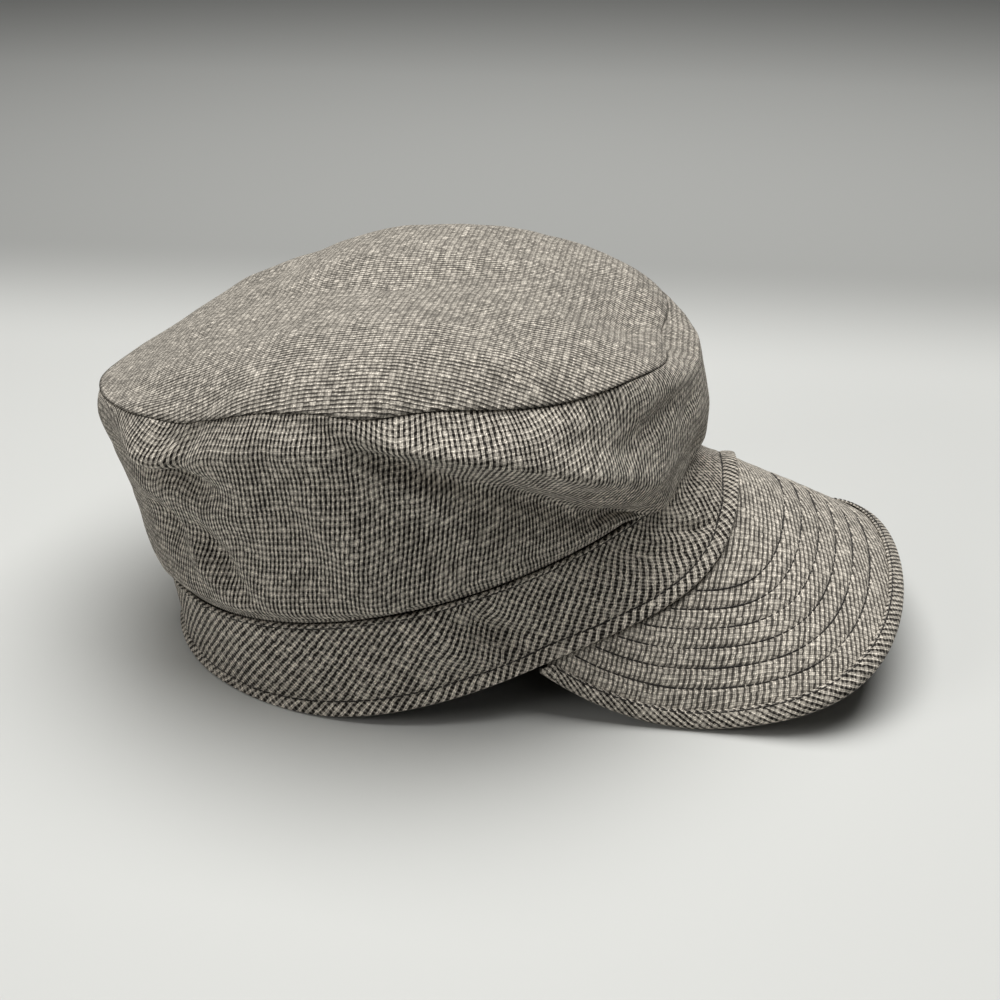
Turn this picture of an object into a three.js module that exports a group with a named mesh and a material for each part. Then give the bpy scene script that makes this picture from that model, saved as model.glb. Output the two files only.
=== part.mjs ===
import * as THREE from 'three';

// A soft patrol cap lying on a table. Lengths are in millimetres and angles in degrees.
// +X points to the peak, +Y to the wearer's left and +Z up; the table is z = 0.
// Angle 0 is the middle of the front, 90 the wearer's left, -90 the wearer's right.

const clothThick = 1.5;
const bandThick = 2.2;
const peakThick = 1.7;
const seamGap = 0.42;
const bindingThick = 0.75;
const bindingWidth = 6.5;
const bandTuck = 0.80;
const topTuck = 0.95;
const peakTuck = 0.14;
const domeRise = 22.4;
const domeFullness = 2.6;
const peakHalfAngle = 70.3;
const peakTipX = 139.8;
const peakDrift = -1.6;
const peakTipZ = 22.7;
const peakRootZ = 18.8;
const peakWiden = 0.61;
const peakRestShare = 0.42;
const peakTipCurve = 1.6;
const peakNoseShape = 0.6;
const peakEdgeLift = 0.9;
const columns = 72;
const peakColumns = 48;

// One row per ring of the head band, from its lower edge to its upper edge. up is the share of
// the band's height, x the ring's middle, egg the share by which the back is fuller than the
// front, and back, side and front are heights over the table.
const bandRings = [
  { up: 0.00, x: -16.0, halfLength: 100.4, halfWidth: 85.6, egg: 0.12, back: 0.0, side: 7.3, front: 56.8 },
  { up: 0.35, x: -20.6, halfLength: 97.1, halfWidth: 86.1, egg: 0.11, back: 9.2, side: 18.5, front: 58.8 },
  { up: 0.70, x: -24.4, halfLength: 94.4, halfWidth: 86.5, egg: 0.10, back: 18.3, side: 30.0, front: 62.4 },
  { up: 1.00, x: -26.2, halfLength: 93.7, halfWidth: 86.5, egg: 0.09, back: 26.2, side: 39.3, front: 67.4 },
];

// One row per ring of the crown's side, from the band's upper edge to the top seam.
const sideRings = [
  { up: 0.00, x: -26.4, halfLength: 94.2, halfWidth: 86.8, egg: 0.09, back: 26.9, side: 40.0, front: 68.1 },
  { up: 0.10, x: -28.4, halfLength: 97.4, halfWidth: 89.6, egg: 0.05, back: 32.0, side: 44.5, front: 70.6 },
  { up: 0.37, x: -30.6, halfLength: 100.0, halfWidth: 91.8, egg: -0.03, back: 47.5, side: 66.3, front: 82.0 },
  { up: 0.70, x: -34.5, halfLength: 101.8, halfWidth: 93.6, egg: -0.03, back: 66.6, side: 90.4, front: 94.5 },
  { up: 0.90, x: -37.8, halfLength: 102.1, halfWidth: 94.9, egg: -0.02, back: 78.1, side: 105.0, front: 101.3 },
  { up: 1.00, x: -38.8, halfLength: 100.6, halfWidth: 95.8, egg: -0.02, back: 85.2, side: 112.2, front: 104.7 },
];

// One row per fold of the crown's side. at and up say where its middle lies, along and across
// are its half sizes in millimetres, and turn tips it up towards the front. depth is how far
// the cloth stands out, or goes in where it is negative, and sag how far it hangs down.
const sideFolds = [
  { at: -82, up: 0.74, along: 17, across: 6, turn: -30, depth: -4.2, sag: 0 },
  { at: -60, up: 0.42, along: 22, across: 6, turn: -30, depth: -4.0, sag: 0 },
  { at: -67, up: 0.80, along: 18, across: 7, turn: -12, depth: 3.0, sag: 0 },
  { at: -40, up: 0.36, along: 18, across: 8, turn: 6, depth: 3.6, sag: 1.5 },
  { at: -31, up: 0.60, along: 26, across: 5, turn: 14, depth: -4.2, sag: 0 },
  { at: -17, up: 0.62, along: 8, across: 4, turn: 30, depth: -1.8, sag: 0 },
  { at: -33, up: 0.07, along: 15, across: 7, turn: 0, depth: 3.5, sag: 4.5 },
  { at: -14, up: 0.18, along: 9, across: 8, turn: 0, depth: -2.5, sag: 0 },
  { at: 2, up: 0.84, along: 34, across: 9, turn: 0, depth: 0.8, sag: -1.0 },
  { at: -78, up: 0.22, along: 20, across: 12, turn: 0, depth: -2.2, sag: 0 },
  { at: -94, up: 0.36, along: 15, across: 12, turn: 10, depth: 2.0, sag: 0 },
  { at: -131, up: 0.84, along: 13, across: 7, turn: -12, depth: 3.4, sag: 0 },
  { at: -124, up: 0.40, along: 26, across: 6, turn: -17, depth: -3.4, sag: 0 },
  { at: -140, up: 0.60, along: 14, across: 6, turn: -10, depth: 1.8, sag: 0 },
  { at: -112, up: 0.24, along: 12, across: 6, turn: -10, depth: 1.6, sag: 0 },
  { at: 40, up: 0.52, along: 26, across: 7, turn: -14, depth: -3.0, sag: 0 },
  { at: 86, up: 0.62, along: 28, across: 9, turn: 6, depth: -3.0, sag: 0 },
  { at: 128, up: 0.42, along: 24, across: 8, turn: 16, depth: -3.0, sag: 0 },
  { at: 178, up: 0.50, along: 20, across: 10, turn: 0, depth: -2.5, sag: 0 },
];

// One row per fold of the band, with the same columns.
const bandFolds = [
  { at: -27, up: 0.36, along: 11, across: 3, turn: -50, depth: -2.6, sag: 0 },
  { at: -37, up: 0.46, along: 9, across: 4, turn: -35, depth: -2.0, sag: 0 },
  { at: -15, up: 0.50, along: 13, across: 8, turn: 0, depth: 2.2, sag: 0 },
  { at: -48, up: 0.50, along: 12, across: 8, turn: 0, depth: 0.8, sag: 0 },
  { at: 30, up: 0.50, along: 12, across: 7, turn: 20, depth: -1.4, sag: 0 },
];

// One row per dent of the top panel, placed by x and y.
const topFolds = [
  { x: 43, y: -6, along: 20, across: 9, turn: 84, depth: -3.6 },
  { x: 40, y: 46, along: 22, across: 14, turn: 120, depth: 2.0 },
  { x: -104, y: -58, along: 20, across: 6, turn: -38, depth: -1.8 },
  { x: 8, y: -74, along: 30, across: 7, turn: 6, depth: -1.0 },
  { x: -70, y: -30, along: 34, across: 16, turn: 60, depth: -1.5 },
  { x: -85, y: 48, along: 34, across: 16, turn: 40, depth: -2.4 },
];

// One row per wave of the top seam: where it is, how many degrees wide, how far the seam drops
// there and how far it is pulled in towards the cap's middle.
const seamMoves = [
  { at: -165, wide: 14, drop: -2.0, pull: 0 },
  { at: -122, wide: 10, drop: 3.6, pull: 1.5 },
  { at: -84, wide: 10, drop: 1.0, pull: 0 },
  { at: -53, wide: 16, drop: 2.6, pull: 0 },
  { at: -28, wide: 10, drop: -1.2, pull: 0 },
  { at: 2, wide: 15, drop: 0.5, pull: 9.0 },
  { at: 62, wide: 16, drop: 1.4, pull: 0 },
  { at: 118, wide: 14, drop: 1.4, pull: 0 },
  { at: 152, wide: 20, drop: 2.8, pull: 0 },
];

// The same for the band, where drop is the length added at its lower edge.
const bandMoves = [
  { at: -39, wide: 20, drop: 8.3, pull: 0 },
  { at: 39, wide: 20, drop: 8.3, pull: 0 },
  { at: 4, wide: 22, drop: 0, pull: 4.0 },
];

const sideRows = [0.06, 0.15, 0.26, 0.38, 0.50, 0.62, 0.74, 0.86, 0.95, 1.00];
const bandRows = [0.00, 0.14, 0.35, 0.58, 0.80, 1.00];
const topRows = [0.975, 0.94, 0.88, 0.79, 0.67, 0.51, 0.34, 0.17];
const peakRows = [0.00, 0.16, 0.34, 0.54, 0.77, 1.00];

const columnNames = ['x', 'halfLength', 'halfWidth', 'egg', 'back', 'side', 'front'];
const radians = Math.PI / 180;

function clamp(value, low, high) {
  return Math.min(high, Math.max(low, value));
}

// A smooth value between table rows: each row's slope is taken from its two neighbours.
function tableRow(rows, up) {
  let i = 0;
  while (i < rows.length - 2 && up > rows[i + 1].up) {
    i += 1;
  }
  const lower = rows[i];
  const upper = rows[i + 1];
  const before = rows[Math.max(0, i - 1)];
  const after = rows[Math.min(rows.length - 1, i + 2)];
  const span = upper.up - lower.up;
  const s = (up - lower.up) / span;
  const result = {};
  for (const name of columnNames) {
    const slopeLow = (upper[name] - before[name]) / (upper.up - before.up) * span;
    const slopeHigh = (after[name] - lower[name]) / (after.up - lower.up) * span;
    result[name] = (2 * s ** 3 - 3 * s ** 2 + 1) * lower[name]
      + (s ** 3 - 2 * s ** 2 + s) * slopeLow
      + (3 * s ** 2 - 2 * s ** 3) * upper[name]
      + (s ** 3 - s ** 2) * slopeHigh;
  }
  return result;
}

// The band's cloth that would hang through the table lies flat on it.
function restOnTable(z) {
  const soft = 0.5 * (z + Math.sqrt(z * z + 1.5));
  return z > 8 ? z : Math.max(0, soft - 0.25 * (1 - clamp(z / 8, 0, 1)));
}

function ringPoint(rows, angle, up) {
  const ring = tableRow(rows, up);
  const c = Math.cos(angle * radians);
  const s = Math.sin(angle * radians);
  const ends = (ring.front + ring.back) / 2;
  const z = ring.side + (ring.front - ring.back) / 2 * c + (ends - ring.side) * c * c;
  return new THREE.Vector3(
    ring.x + ring.halfLength * c,
    ring.halfWidth * s * (1 - ring.egg * c),
    z,
  );
}

// Directions of a wall at one place: up along the cloth, and inward through it.
function wallFrame(surface, angle, up) {
  const step = 0.004;
  const high = surface(angle, Math.min(1, up + step));
  const low = surface(angle, Math.max(0, up - step));
  const across = surface(angle + 0.4, up).sub(surface(angle - 0.4, up)).normalize();
  const along = high.sub(low).normalize();
  const inward = new THREE.Vector3().crossVectors(along, across).normalize();
  return { up: along, inward };
}

// The place beside a wall, given inward through the cloth and upward along it.
function beside(surface, angle, up, inward, upward) {
  const frame = wallFrame(surface, angle, up);
  return surface(angle, up)
    .addScaledVector(frame.inward, inward)
    .addScaledVector(frame.up, upward);
}

// How far the folds of one table move a place outwards and down.
function foldShift(folds, angle, up, radius, height) {
  const shift = { out: 0, down: 0 };
  for (const fold of folds) {
    const turn = fold.turn * radians;
    const around = ((angle - fold.at + 540) % 360 - 180) * radians * radius;
    const rise = (up - fold.up) * height;
    const p = (around * Math.cos(turn) + rise * Math.sin(turn)) / fold.along;
    const q = (rise * Math.cos(turn) - around * Math.sin(turn)) / fold.across;
    const swell = Math.exp(-p * p - q * q);
    shift.out += fold.depth * swell;
    shift.down += fold.sag * swell;
  }
  return shift;
}

function moveAt(moves, angle, column) {
  let total = 0;
  for (const move of moves) {
    const away = ((angle - move.at + 540) % 360 - 180) / move.wide;
    total += move[column] * Math.exp(-away * away);
  }
  return total;
}

function pullIn(point, angle, pull) {
  point.x -= pull * Math.cos(angle * radians);
  point.y -= pull * Math.sin(angle * radians);
  return point;
}

function bandPoint(angle, up) {
  const plain = (a, u) => ringPoint(bandRings, a, u);
  const frame = wallFrame(plain, angle, up);
  const depth = foldShift(bandFolds, angle, up, 92, 31).out * Math.sin(Math.PI * clamp(up, 0, 1));
  const point = plain(angle, up)
    .addScaledVector(frame.inward, -depth)
    .addScaledVector(frame.up, -moveAt(bandMoves, angle, 'drop') * (1 - up));
  return pullIn(point, angle, moveAt(bandMoves, angle, 'pull'));
}

function sidePoint(angle, up) {
  const plain = (a, u) => ringPoint(sideRings, a, u);
  const held = clamp(up / 0.10, 0, 1);
  const shift = foldShift(sideFolds, angle, up, 95, 68);
  const point = plain(angle, up).addScaledVector(wallFrame(plain, angle, up).inward, -shift.out * held);
  point.z -= shift.down * held + moveAt(seamMoves, angle, 'drop') * up ** 3;
  const high = clamp((up - 0.82) / 0.18, 0, 1);
  return pullIn(point, angle, moveAt(seamMoves, angle, 'pull') * high * high * (3 - 2 * high));
}

// The top panel: share 1 is the seam and share 0 the middle of the panel.
function topPoint(angle, share) {
  const seam = ringPoint(sideRings, angle, 1);
  const last = sideRings[sideRings.length - 1];
  const middle = (last.front + last.back) / 2;
  const x = last.x + (seam.x - last.x) * share;
  const y = seam.y * share;
  let z = middle + (seam.z - middle) * share + domeRise * (1 - share ** domeFullness);
  for (const fold of topFolds) {
    const turn = fold.turn * radians;
    const p = ((x - fold.x) * Math.cos(turn) + (y - fold.y) * Math.sin(turn)) / fold.along;
    const q = ((y - fold.y) * Math.cos(turn) - (x - fold.x) * Math.sin(turn)) / fold.across;
    z += fold.depth * Math.exp(-p * p - q * q) * clamp((1 - share) / 0.08, 0, 1);
  }
  const follow = clamp((share - 0.75) / 0.25, 0, 1) ** 2;
  const shift = sidePoint(angle, 1).sub(seam);
  return new THREE.Vector3(x, y, z).addScaledVector(shift, follow);
}

function topInside(angle, share) {
  const outer = topPoint(angle, share);
  const across = topPoint(angle + 1, share).sub(topPoint(angle - 1, share));
  const inwards = topPoint(angle, share - 0.01).sub(topPoint(angle, share + 0.01));
  const normal = new THREE.Vector3().crossVectors(across, inwards).normalize();
  return outer.addScaledVector(normal, -clothThick);
}

// Stations along the peak lie closer together towards its two root ends.
function stationShare(i, count) {
  return 0.5 * i / count + 0.5 * (0.5 - 0.5 * Math.cos(Math.PI * i / count));
}

// The peak's outer edge, as places from the right root end to the left one.
function peakEdge(count) {
  const root = bandRings[0];
  const c = Math.cos(peakHalfAngle * radians);
  const rootX = root.x + root.halfLength * c;
  const rootY = root.halfWidth * Math.sin(peakHalfAngle * radians) * (1 - root.egg * c);
  const dense = [];
  for (let i = 0; i <= 600; i += 1) {
    const turn = (i / 600 - 0.5) * Math.PI;
    const forward = Math.abs(Math.cos(turn)) ** peakNoseShape;
    const rest = Math.max(0, 1 - forward / peakRestShare);
    const rise = Math.max(0, (forward - peakRestShare) / (1 - peakRestShare));
    dense.push(new THREE.Vector3(
      rootX + (peakTipX - rootX) * forward,
      rootY * Math.sin(turn) * (1 + peakWiden * Math.cos(turn) ** 2) + peakDrift * forward ** 2,
      peakRootZ * rest * rest + peakTipZ * rise ** peakTipCurve + peakEdgeLift,
    ));
  }
  const lengths = [0];
  for (let i = 1; i < dense.length; i += 1) {
    lengths.push(lengths[i - 1] + dense[i].distanceTo(dense[i - 1]));
  }
  const total = lengths[lengths.length - 1];
  const result = [];
  let k = 0;
  for (let i = 0; i <= count; i += 1) {
    const wanted = total * stationShare(i, count);
    while (k < dense.length - 2 && lengths[k + 1] < wanted) {
      k += 1;
    }
    const share = clamp((wanted - lengths[k]) / (lengths[k + 1] - lengths[k]), 0, 1);
    result.push(dense[k].clone().lerp(dense[k + 1], share));
  }
  return result;
}

// One station per place along the peak: its root, its edge, and the directions of its sheet.
function peakStations(count) {
  const edge = peakEdge(count);
  const result = [];
  for (let i = 0; i <= count; i += 1) {
    const angle = (stationShare(i, count) * 2 - 1) * peakHalfAngle;
    const root = beside(bandPoint, angle, 0, 0, -seamGap);
    const out = edge[i].clone().sub(root);
    const length = out.length();
    out.normalize();
    const before = edge[Math.max(0, i - 1)];
    const after = edge[Math.min(count, i + 1)];
    const around = after.clone().sub(before).normalize();
    const normal = new THREE.Vector3().crossVectors(out, around).normalize();
    result.push({ angle, root, edge: edge[i], out, length, normal });
  }
  return result;
}

// A closed solid from a grid of places. Each line of the grid is one section of the piece,
// taken all the way round the section, and lines follow each other along the piece.
function solidFromSections(sections, closedLoop, settle = (z) => Math.max(0, z)) {
  const positions = [];
  const index = [];
  const around = sections[0].length;
  for (const section of sections) {
    for (const point of section) {
      positions.push(point.x, point.y, settle(point.z));
    }
  }
  const lines = closedLoop ? sections.length : sections.length - 1;
  for (let i = 0; i < lines; i += 1) {
    const next = (i + 1) % sections.length;
    for (let j = 0; j < around; j += 1) {
      const k = (j + 1) % around;
      const a = i * around + j;
      const b = i * around + k;
      const c = next * around + k;
      const d = next * around + j;
      index.push(a, d, c, a, c, b);
    }
  }
  if (!closedLoop) {
    const half = around / 2;
    const last = (sections.length - 1) * around;
    for (let j = 0; j < half - 1; j += 1) {
      const far = around - 1 - j;
      index.push(j, j + 1, far - 1, j, far - 1, far);
      index.push(last + j, last + far, last + far - 1, last + j, last + far - 1, last + j + 1);
    }
  }
  const geometry = new THREE.BufferGeometry();
  geometry.setAttribute('position', new THREE.Float32BufferAttribute(positions, 3));
  geometry.setIndex(index);
  geometry.computeVertexNormals();
  return geometry;
}

// Each section runs along the outer face from below to above, and back along the inner face.
function ringSections(outerAt, innerAt) {
  const sections = [];
  for (let i = 0; i < columns; i += 1) {
    const angle = i / columns * 360 - 180;
    const outer = outerAt(angle);
    const inner = innerAt(angle);
    sections.push([...outer, ...inner.reverse()]);
  }
  return sections;
}

function bandGeometry() {
  const outerAt = (angle) => bandRows.map((up) => bandPoint(angle, up));
  const innerAt = (angle) => bandRows.map((up) => {
    const inside = beside(bandPoint, angle, up, bandThick, 0);
    if (up === 0) {
      const hem = bandPoint(angle, 0);
      inside.z += (hem.z - inside.z) * clamp((12 - hem.z) / 9, 0, 1);
    }
    return inside;
  });
  return solidFromSections(ringSections(outerAt, innerAt), true, restOnTable);
}

function crownSideGeometry() {
  const tuck = bandThick + seamGap;
  const outerAt = (angle) => [
    beside(bandPoint, angle, bandTuck, tuck, 0),
    beside(bandPoint, angle, 1, tuck, seamGap),
    beside(bandPoint, angle, 1, 0.1, seamGap),
    ...sideRows.map((up) => sidePoint(angle, up)),
  ];
  const innerAt = (angle) => [
    beside(bandPoint, angle, bandTuck, tuck + clothThick, 0),
    beside(bandPoint, angle, 1, tuck + clothThick, 1.0),
    beside(bandPoint, angle, 1, 1.9, seamGap + clothThick),
    ...sideRows.map((up) => beside(sidePoint, angle, up, clothThick, 0)),
  ];
  return solidFromSections(ringSections(outerAt, innerAt), true);
}

function crownTopGeometry() {
  const tuck = clothThick + seamGap;
  const far = tuck + clothThick;
  const outerAt = (angle) => [
    beside(sidePoint, angle, topTuck, tuck, 0),
    beside(sidePoint, angle, 1, tuck, seamGap),
    beside(sidePoint, angle, 1, 0, seamGap),
    ...topRows.map((share) => topPoint(angle, share)),
  ];
  const innerAt = (angle) => [
    beside(sidePoint, angle, topTuck, far, 0),
    beside(sidePoint, angle, 1, far, -0.8),
    beside(sidePoint, angle, 1, far, 0.2),
    beside(sidePoint, angle, 1, far + 0.6, 0.6),
    ...topRows.slice(1).map((share) => topInside(angle, share)),
  ];
  return closedDome(ringSections(outerAt, innerAt));
}

// The panel's sections end in one middle place on each face.
function closedDome(sections) {
  const positions = [];
  const index = [];
  const around = sections[0].length;
  const half = around / 2;
  for (const section of sections) {
    for (const point of section) {
      positions.push(point.x, point.y, point.z);
    }
  }
  const outerMiddle = topPoint(0, 0);
  const innerMiddle = outerMiddle.clone();
  innerMiddle.z -= clothThick;
  const outerIndex = sections.length * around;
  const innerIndex = outerIndex + 1;
  positions.push(outerMiddle.x, outerMiddle.y, outerMiddle.z);
  positions.push(innerMiddle.x, innerMiddle.y, innerMiddle.z);
  for (let i = 0; i < sections.length; i += 1) {
    const next = (i + 1) % sections.length;
    for (let j = 0; j < around; j += 1) {
      const k = (j + 1) % around;
      const a = i * around + j;
      const b = i * around + k;
      const c = next * around + k;
      const d = next * around + j;
      if (j === half - 1) {
        index.push(a, d, outerIndex);
        index.push(b, innerIndex, c);
      } else {
        index.push(a, d, c, a, c, b);
      }
    }
  }
  const geometry = new THREE.BufferGeometry();
  geometry.setAttribute('position', new THREE.Float32BufferAttribute(positions, 3));
  geometry.setIndex(index);
  geometry.computeVertexNormals();
  return geometry;
}

function peakGeometry() {
  const tuck = bandThick + seamGap;
  const far = tuck + peakThick;
  const rim = bindingThick + seamGap + 0.3;
  const sections = [];
  for (const station of peakStations(peakColumns)) {
    if (station.length < 5) {
      continue;
    }
    const frame = wallFrame(bandPoint, station.angle, 0);
    const down = frame.up.clone().negate();
    const turned = down.clone().sub(station.normal);
    const mitre = peakThick / (1 - down.dot(station.normal));
    const start = Math.min(3, 0.45 * station.length);
    const along = peakRows.map((share) => start + share * (station.length - rim - start));
    const upper = [
      beside(bandPoint, station.angle, peakTuck, tuck, 0),
      beside(bandPoint, station.angle, 0, tuck, 0),
      beside(bandPoint, station.angle, 0, tuck, -seamGap),
      station.root.clone(),
      ...along.map((far1) => station.root.clone().addScaledVector(station.out, far1)),
    ];
    const lower = [
      beside(bandPoint, station.angle, peakTuck, far, 0),
      beside(bandPoint, station.angle, 0, far, 0),
      beside(bandPoint, station.angle, 0, far, -seamGap - peakThick),
      station.root.clone().addScaledVector(turned, mitre),
      ...along.map((far1) => station.root.clone()
        .addScaledVector(station.out, far1)
        .addScaledVector(station.normal, -peakThick)),
    ];
    sections.push([...lower, ...upper.reverse()]);
  }
  return solidFromSections(sections, false);
}

function bindingGeometry() {
  const top = seamGap + bindingThick;
  const bottom = -peakThick - seamGap - bindingThick;
  const sections = [];
  for (const station of peakStations(peakColumns)) {
    if (station.length < 2.4) {
      continue;
    }
    const width = Math.min(bindingWidth, station.length - 0.9);
    const web = Math.min(bindingThick + 0.3, width * 0.4);
    const profile = [
      [-width, bottom],
      [-0.9, bottom],
      [0, bottom + 0.8],
      [0, top - 0.8],
      [-0.9, top],
      [-width, top],
      [-width, seamGap],
      [-web, seamGap],
      [-web, -peakThick - seamGap],
      [-width, -peakThick - seamGap],
    ];
    sections.push(profile.map(([out, over]) => station.edge.clone()
      .addScaledVector(station.out, out)
      .addScaledVector(station.normal, over)));
  }
  return solidFromChannel(sections);
}

// The binding's section is a channel, so its two ends are capped in three parts.
function solidFromChannel(sections) {
  const geometry = solidFromSections([...sections, sections[0]].slice(0, -1), true);
  const around = sections[0].length;
  const last = (sections.length - 1) * around;
  const sides = Array.from(geometry.getIndex().array).slice(0, last * 6);
  const caps = [[0, 1, 8, 9], [1, 2, 3, 4], [1, 4, 7, 8], [4, 5, 6, 7]];
  for (const [a, b, c, d] of caps) {
    sides.push(a, b, c, a, c, d);
    sides.push(last + a, last + c, last + b, last + a, last + d, last + c);
  }
  geometry.setIndex(sides);
  geometry.computeVertexNormals();
  return geometry;
}

function addPiece(group, name, geometry, colour) {
  const material = new THREE.MeshStandardMaterial({ color: colour, roughness: 0.95, metalness: 0 });
  const mesh = new THREE.Mesh(geometry, material);
  mesh.name = name;
  group.add(mesh);
}

const group = new THREE.Group();
group.name = 'patrol_cap';
addPiece(group, 'crown_top', crownTopGeometry(), 0x8b8780);
addPiece(group, 'crown_side', crownSideGeometry(), 0x7a766f);
addPiece(group, 'band', bandGeometry(), 0x6d6963);
addPiece(group, 'peak', peakGeometry(), 0x7a766f);
addPiece(group, 'peak_binding', bindingGeometry(), 0x6d6963);

export default group;
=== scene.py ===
import math
import bpy
import numpy as np
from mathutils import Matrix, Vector


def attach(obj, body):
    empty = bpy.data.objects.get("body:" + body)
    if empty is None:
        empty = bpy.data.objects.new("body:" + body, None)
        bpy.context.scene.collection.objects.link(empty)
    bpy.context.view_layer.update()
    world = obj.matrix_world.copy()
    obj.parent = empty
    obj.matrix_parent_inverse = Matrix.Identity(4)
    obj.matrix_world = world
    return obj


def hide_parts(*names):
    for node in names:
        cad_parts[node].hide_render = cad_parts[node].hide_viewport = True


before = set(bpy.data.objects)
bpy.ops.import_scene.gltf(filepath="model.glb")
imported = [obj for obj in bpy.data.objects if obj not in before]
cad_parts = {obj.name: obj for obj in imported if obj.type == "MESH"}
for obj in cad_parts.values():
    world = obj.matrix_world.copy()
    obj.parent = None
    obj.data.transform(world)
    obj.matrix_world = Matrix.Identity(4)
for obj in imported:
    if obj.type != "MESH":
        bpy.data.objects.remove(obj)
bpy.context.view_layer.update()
bpy.ops.object.select_all(action="DESELECT")
print("frame loaded")

# Tables and sizes are in millimetres and degrees, and meshes are written in metres.
# +X is the front, +Y the wearer's left, and angle 0 is the middle of the front.
mm = 0.001
degree = math.pi / 180
seamGap = 0.42


# Reading the section tables, the same smooth way for every ring.

def tableAt(rows, up):
    table = np.array(rows, float)
    ups = table[:, 0]
    i = np.clip(np.searchsorted(ups, up, side="right") - 1, 0, len(ups) - 2)
    before = np.maximum(i - 1, 0)
    after = np.minimum(i + 2, len(ups) - 1)
    span = (ups[i + 1] - ups[i])[..., None]
    s = (up - ups[i])[..., None] / span
    low, high = table[i, 1:], table[i + 1, 1:]
    slopeLow = (high - table[before, 1:]) / (ups[i + 1] - ups[before])[..., None] * span
    slopeHigh = (table[after, 1:] - low) / (ups[after] - ups[i])[..., None] * span
    return ((2 * s**3 - 3 * s**2 + 1) * low + (s**3 - 2 * s**2 + s) * slopeLow
            + (3 * s**2 - 2 * s**3) * high + (s**3 - s**2) * slopeHigh)


def ringSpot(rows, angle, up):  # a place on an egg shaped ring that rises to its front, back and sides
    angle, up = np.broadcast_arrays(np.asarray(angle, float), np.asarray(up, float))
    x, a, b, egg, back, side, front = np.moveaxis(tableAt(rows, up), -1, 0)
    c, s = np.cos(angle * degree), np.sin(angle * degree)
    z = side + (front - back) / 2 * c + ((front + back) / 2 - side) * c * c
    return np.stack([x + a * c, b * s * (1 - egg * c), z], -1)


def unit(v):
    return v / np.maximum(np.linalg.norm(v, axis=-1, keepdims=True), 1e-9)


def wallFrame(surface, angle, up):  # up along the cloth, and inward through it
    step, turn = 0.004, 0.4
    along = unit(surface(angle, np.minimum(1, up + step)) - surface(angle, np.maximum(0, up - step)))
    across = unit(surface(angle + turn, up) - surface(angle - turn, up))
    return along, unit(np.cross(along, across))


def beside(surface, angle, up, inward, upward):
    angle, up = np.broadcast_arrays(np.asarray(angle, float), np.asarray(up, float))
    along, inwards = wallFrame(surface, angle, up)
    inward = np.broadcast_to(inward, up.shape)[..., None]
    upward = np.broadcast_to(upward, up.shape)[..., None]
    return surface(angle, up) + inwards * inward + along * upward


def turnedGap(angle, at):
    return (angle - at + 540) % 360 - 180


def foldShifts(piece, angle, up):  # outward and downward
    out, drop = 0.0, 0.0
    for at, middle, along, across, turn, depth, sag in piece["folds"]:
        around = turnedGap(angle, at) * degree * piece["radius"]
        rise = (up - middle) * piece["height"]
        c, s = math.cos(turn * degree), math.sin(turn * degree)
        p = (around * c + rise * s) / along
        q = (rise * c - around * s) / across
        swell = np.exp(-p * p - q * q)
        out = out + depth * swell
        drop = drop + sag * swell
    return np.asarray(out)[..., None], np.asarray(drop)


def moveAt(piece, angle, column):
    return sum(move[column] * np.exp(-(turnedGap(angle, move[0]) / move[1]) ** 2) for move in piece["moves"])


def pulled(spot, angle, pull):  # moved level, towards the cap's middle
    towards = np.stack([-np.cos(angle * degree), -np.sin(angle * degree), 0 * angle], -1)
    return spot + towards * pull[..., None]


def ripples(spots, size, seed, count=16):  # soft ripples about 1 high, the same every run
    rng = np.random.default_rng(seed)
    total = 0.0
    for _ in range(count):
        direction = unit(rng.normal(size=3))
        pitch = size * rng.uniform(0.6, 1.6)
        total = total + np.sin(spots @ direction * 2 * math.pi / pitch + rng.uniform(0, 6.28))
    return total / math.sqrt(count / 2)


def crumple(piece, spots):
    return sum(amount * ripples(spots, size, seed) for amount, size, seed in piece["crumples"])


def runLength(spots):  # distance run along the last axis of places
    steps = np.linalg.norm(np.diff(spots, axis=-2), axis=-1)
    return np.concatenate([np.zeros(steps.shape[:-1] + (1,)), np.cumsum(steps, axis=-1)], -1)


def bump(value, middle, wide):
    return np.exp(-((value - middle) / wide) ** 2)


def ease(value, low, high):
    s = np.clip((value - low) / (high - low), 0, 1)
    return s * s * (3 - 2 * s)


def edgeRound(fromEdge, radius):  # 0 at the edge and 1 past it, along a quarter of a circle
    return np.sqrt(np.clip(1 - (1 - np.clip(fromEdge / radius, 0, 1)) ** 2, 0, 1))


# Making a piece: a grid primitive whose vertices are moved to the cloth's places.

stitch = {
    "pitch": 2.7,
    "samples": 8,
    "sides": 6,
    "radius": 0.28,
    "lift": 0.52,
    "sink": 0.28,
}


def clothGrid(spots, uv):
    bpy.ops.object.select_all(action="DESELECT")
    across, along = spots.shape[:2]
    bpy.ops.mesh.primitive_grid_add(x_subdivisions=across - 1, y_subdivisions=along - 1, size=2)
    piece = bpy.context.object
    mesh = piece.data
    flat = np.empty(len(mesh.vertices) * 3)
    mesh.vertices.foreach_get("co", flat)
    flat = flat.reshape(-1, 3)
    i = np.rint((flat[:, 0] + 1) / 2 * (across - 1)).astype(int)
    j = np.rint((flat[:, 1] + 1) / 2 * (along - 1)).astype(int)
    mesh.vertices.foreach_set("co", (spots[i, j] * mm).ravel())
    corner = np.empty(len(mesh.loops), int)
    mesh.loops.foreach_get("vertex_index", corner)
    layer = mesh.uv_layers[0]
    layer.name = "cloth"
    layer.data.foreach_set("uv", (uv[i, j][corner] * mm).ravel())
    mesh.update()
    return piece


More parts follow.
